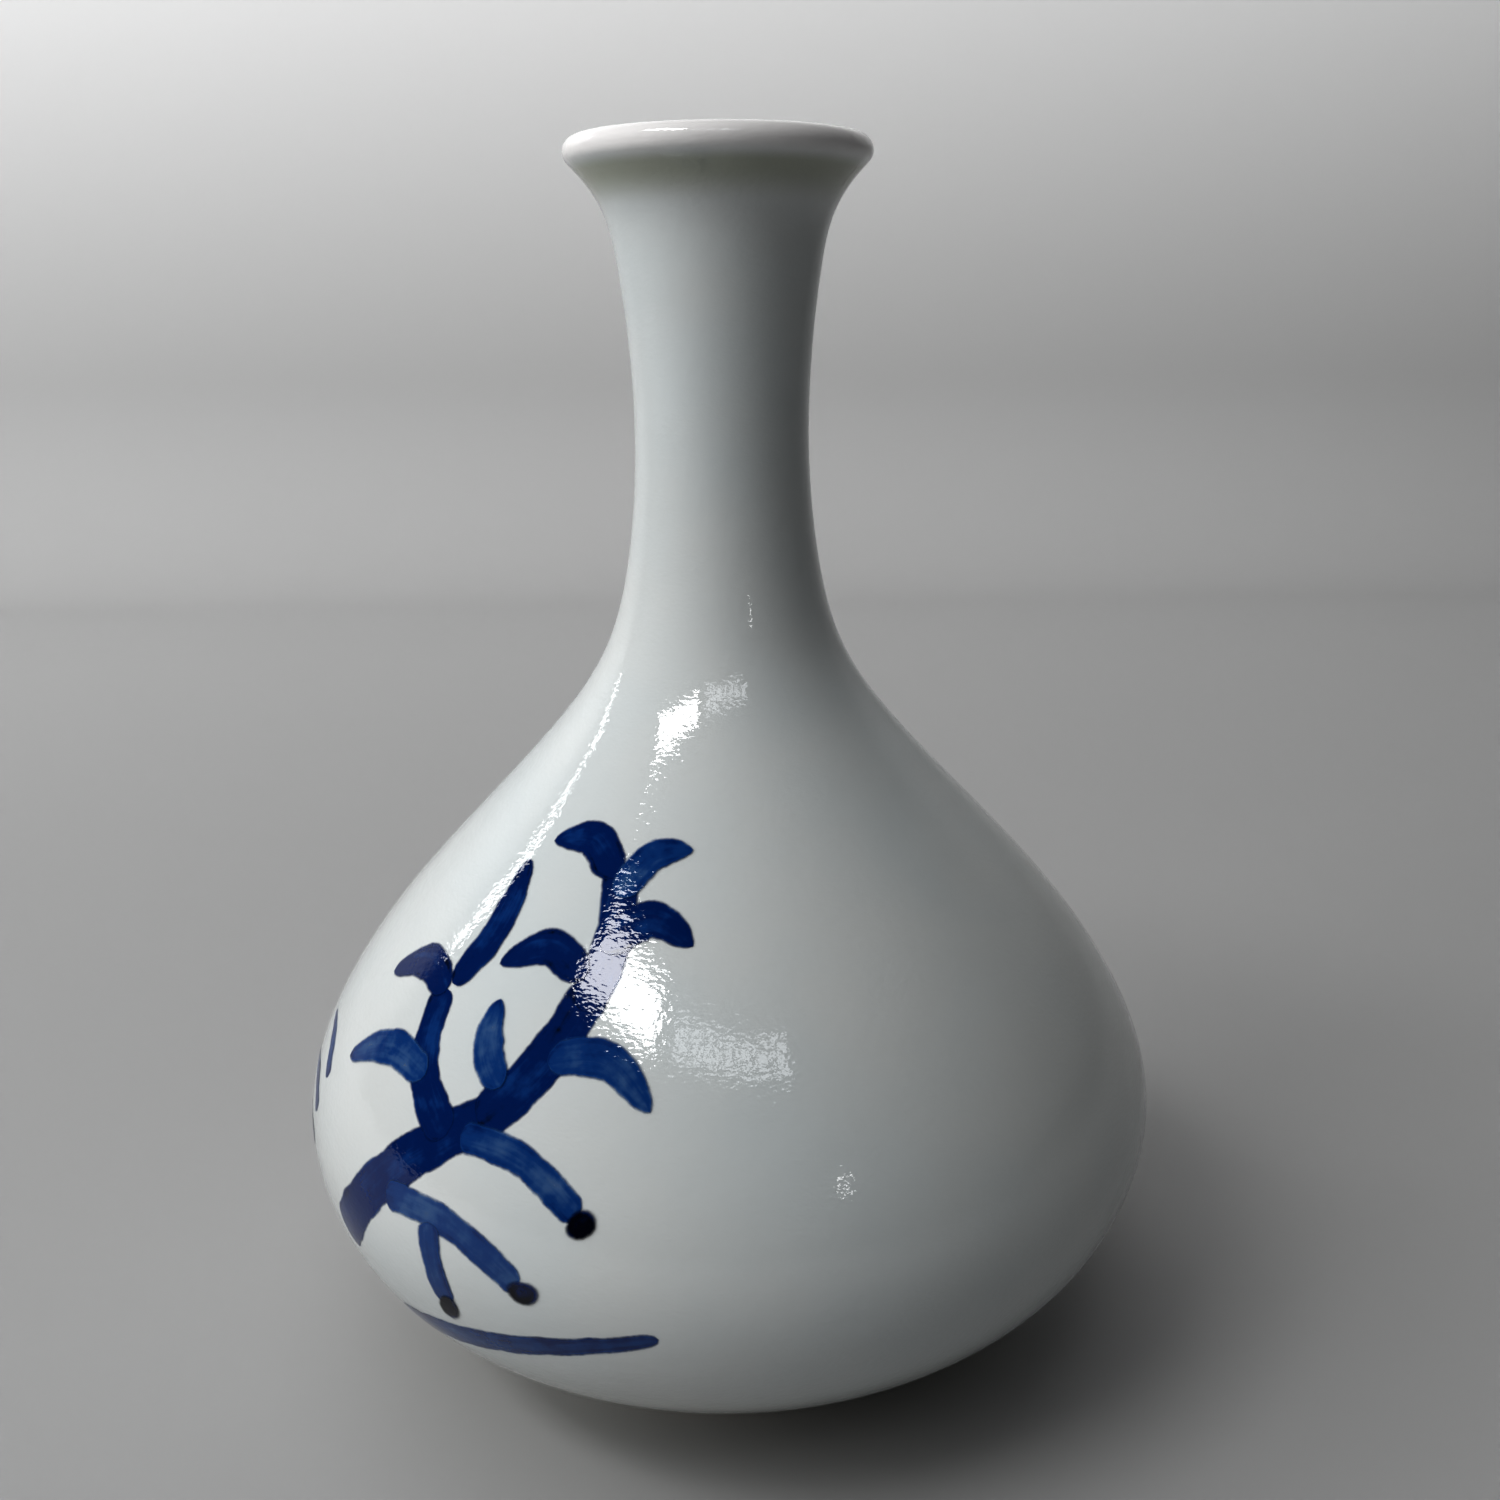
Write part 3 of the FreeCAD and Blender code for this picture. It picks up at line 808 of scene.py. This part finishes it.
def brushwork():
    deep = cobalt_material("cobalt_deep", 0.34)
    wash = cobalt_material("cobalt_wash", 0.26)
    pooled = cobalt_material("cobalt_pooled", 0.05)

    bough = Brush()
    for k, (marks, width) in enumerate(BOUGH):
        bough.stroke(marks, width, 0.66, 1.0 + k, lift=0.030 + 0.008 * k, taper=(0.0, 0.12))
    bough.finish("brushed_bough", deep, "painted_bough")

    ground = Brush()
    ground.stroke(*GROUND, 0.50, 11.0, lift=0.026, taper=(0.0, 0.55), pool=(0.2, 0.05))
    ground.finish("brushed_ground_line", deep, "painted_ground_line")

    stems = Brush()
    for k, (marks, width) in enumerate(STEMS):
        stems.stroke(marks, width, 0.30, 21.0 + k, lift=0.066 + 0.008 * k)
    stems.finish("brushed_stems", wash, "painted_stems")

    leaves = Brush()
    for k, (marks, width) in enumerate(DEEP_LEAVES):
        leaves.stroke(marks, width, 0.62, 31.0 + k, lift=0.092 + 0.006 * k,
                      taper=(0.30, 0.62), press=0.22)
    leaves.finish("brushed_deep_leaves", deep, "painted_deep_leaves")

    pale = Brush()
    for k, (marks, width) in enumerate(PALE_LEAVES):
        pale.stroke(marks, width, 0.27, 41.0 + k, lift=0.120 + 0.006 * k,
                    taper=(0.30, 0.62), press=0.22)
    pale.finish("brushed_pale_leaves", wash, "painted_pale_leaves")

    berries = Brush()
    for k, (turn, rise, tilt) in enumerate(BERRIES):
        berries.dab((turn, rise), 1.5, 1.05, 51.0 + k, lift=0.155, tilt=tilt)
    berries.finish("brushed_berries", pooled, "painted_berries")

    side = Brush()
    for k, (marks, width) in enumerate(SIDE_LEAVES):
        side.stroke(marks, width, 0.42, 61.0 + k, lift=0.030 + 0.006 * k, taper=(0.2, 0.75))
    side.finish("brushed_side_sprig", wash, "painted_side_leaves")


outer_glaze()
inner_glaze()
base_glaze()
foot_ring()
clay = bisque_material()
for name in ("belly", "neck"):
    nodes[name].data.materials.clear()
    nodes[name].data.materials.append(clay)
brushwork()


# ======================================================================================
# Floor, light and camera
# ======================================================================================

WALL_BACK = 0.62                # how far behind the bottle the wall stands


def backdrop():
    """A pale floor that curves up into a wall behind the bottle."""
    width, front, back, bend, top = 2.6, -1.2, WALL_BACK, 0.10, 1.6
    outline = [(front, 0.0), (back - bend, 0.0)]
    outline += [(back - bend + bend * math.sin(a), bend - bend * math.cos(a))
                for a in np.linspace(0, math.pi / 2, 13)[1:]]
    outline.append((back, top))
    verts = [(x, y, z) for y, z in outline for x in (-width, width)]
    faces = [(2 * i, 2 * i + 1, 2 * i + 3, 2 * i + 2) for i in range(len(outline) - 1)]
    mesh = bpy.data.meshes.new("pale_floor")
    mesh.from_pydata(verts, [], faces)
    mesh.shade_smooth()
    floor = bpy.data.objects.new("pale_floor", mesh)
    bpy.context.scene.collection.objects.link(floor)
    material, tree, shader = new_material("pale_floor_matte")
    height = add(tree, "ShaderNodeSeparateXYZ", Vector=object_place(tree)).outputs[2]
    # Painted shade on the backdrop: the floor a darker grey, and the wall painted darker at its foot
    # and lighter upwards to half a metre up.
    colour = blend_colour(tree, ramp(tree, height, 0.0, 0.5), (0.41, 0.41, 0.41, 1),
                          (0.78, 0.78, 0.78, 1))
    tree.links.new(colour, shader.inputs["Base Color"])
    shader.inputs["Roughness"].default_value = 0.8
    mesh.materials.append(material)


def seen_from_bottle(azimuth, elevation, distance):
    """A place by its direction from the bottle: azimuth 0 is the front, positive to the right."""
    a, e = math.radians(azimuth), math.radians(elevation)
    return Vector((math.sin(a) * math.cos(e), -math.cos(a) * math.cos(e), math.sin(e))) * distance


def aim(lamp, target):
    lamp.rotation_euler = (target - lamp.location).to_track_quat("-Z", "Y").to_euler()


def panel(name, azimuth, elevation, distance, width, height, strength, colour=(1, 1, 1),
          target=Vector((0, 0, 0.07))):
    light = bpy.data.lights.new(name, "AREA")
    light.shape = "RECTANGLE"
    light.size, light.size_y = width, height
    light.energy = strength * width * height * math.pi
    light.color = colour
    lamp = bpy.data.objects.new(name, light)
    lamp.location = target + seen_from_bottle(azimuth, elevation, distance)
    aim(lamp, target)
    bpy.context.scene.collection.objects.link(lamp)
    return lamp


def upright_panel(name, azimuth, away, elevations, turn, strength, colour=(1, 1, 1)):
    """A window in an upright wall, from its bottom's elevation to its top's, so wide in degrees."""
    low, high = (away * math.tan(math.radians(e)) for e in elevations)
    across = 2 * away * math.tan(math.radians(turn / 2))
    lamp = panel(name, azimuth, 0, away, across, high - low, strength, colour)
    lamp.location.z += (low + high) / 2
    return lamp


def lights():
    """Daylight from the left: windows that show in the glaze, and soft lights that don't."""
    upright_panel("window", -47, 0.60, (46.0, 54.6), 37, 14.0)
    for k in range(7):
        upright_panel(f"far_window_{k}", -19 + 6.2 * k, 0.70, (44.5 - 0.5 * k, 51.5 - 0.5 * k),
                      4.2, 4.2, colour=(0.93, 0.96, 1.0))
    panel("left_strip", -112, 26, 0.90, 0.040, 0.21, 6.5)
    panel("small_lamp", 28.3, 17.6, 0.90, 0.034, 0.034, 12.0)
    for name, azimuth, elevation, distance, side, strength in (
            ("left_soft", -74, 24, 1.3, 1.2, 3.2), ("left_back_soft", -124, 28, 0.95, 0.62, 0.4),
            ("top_soft", -30, 75, 1.2, 1.0, 1.5)):
        panel(name, azimuth, elevation, distance, side, side, strength).visible_glossy = False
    wash = panel("wall_wash", 0, 60, 0.9, 1.8, 0.4, 0.85)
    wash.location = (-0.15, 0.0, 0.90)
    wash.data.spread = math.radians(75)      # keeps its light off the bottle
    aim(wash, Vector((-0.20, WALL_BACK, 0.32)))
    world = bpy.data.worlds.new("studio")
    bpy.context.scene.world = world
    world.use_nodes = True
    tree = world.node_tree
    tree.nodes["Background"].inputs["Color"].default_value = (1, 1, 1, 1)
    coord = tree.nodes.new("ShaderNodeTexCoord").outputs["Generated"]
    across = add(tree, "ShaderNodeSeparateXYZ", Vector=coord).outputs[0]
    tree.links.new(ramp(tree, across, -0.90, 0.1, 0.03, 0.004),
                   tree.nodes["Background"].inputs["Strength"])


def camera():
    """Low and close: the bottle's lip stands just above the eye, its foot well below."""
    distance, height = 180.9 * MM, 130.75 * MM
    pitch, roll, yaw = math.radians(16.17), math.radians(-0.54), math.radians(0.94)
    forward = Vector((math.sin(yaw) * math.cos(pitch), math.cos(yaw) * math.cos(pitch),
                      -math.sin(pitch)))
    level = Vector((math.cos(yaw), -math.sin(yaw), 0))
    up = level.cross(forward)
    right = math.cos(roll) * level + math.sin(roll) * up
    up = -math.sin(roll) * level + math.cos(roll) * up
    data = bpy.data.cameras.new("camera")
    data.sensor_width = 36.0
    data.lens = 36.0
    data.clip_start = 0.01
    view = bpy.data.objects.new("camera", data)
    turn = Matrix((right, up, -forward)).transposed().to_4x4()
    view.matrix_world = Matrix.Translation((0, -distance, height)) @ turn
    bpy.context.scene.collection.objects.link(view)
    bpy.context.scene.camera = view


DISPLAY_GAMMA = 0.74            # darkens the middle tones, for a contrasty look

backdrop()
lights()
camera()
bpy.context.scene.view_settings.view_transform = "Standard"
bpy.context.scene.view_settings.gamma = DISPLAY_GAMMA
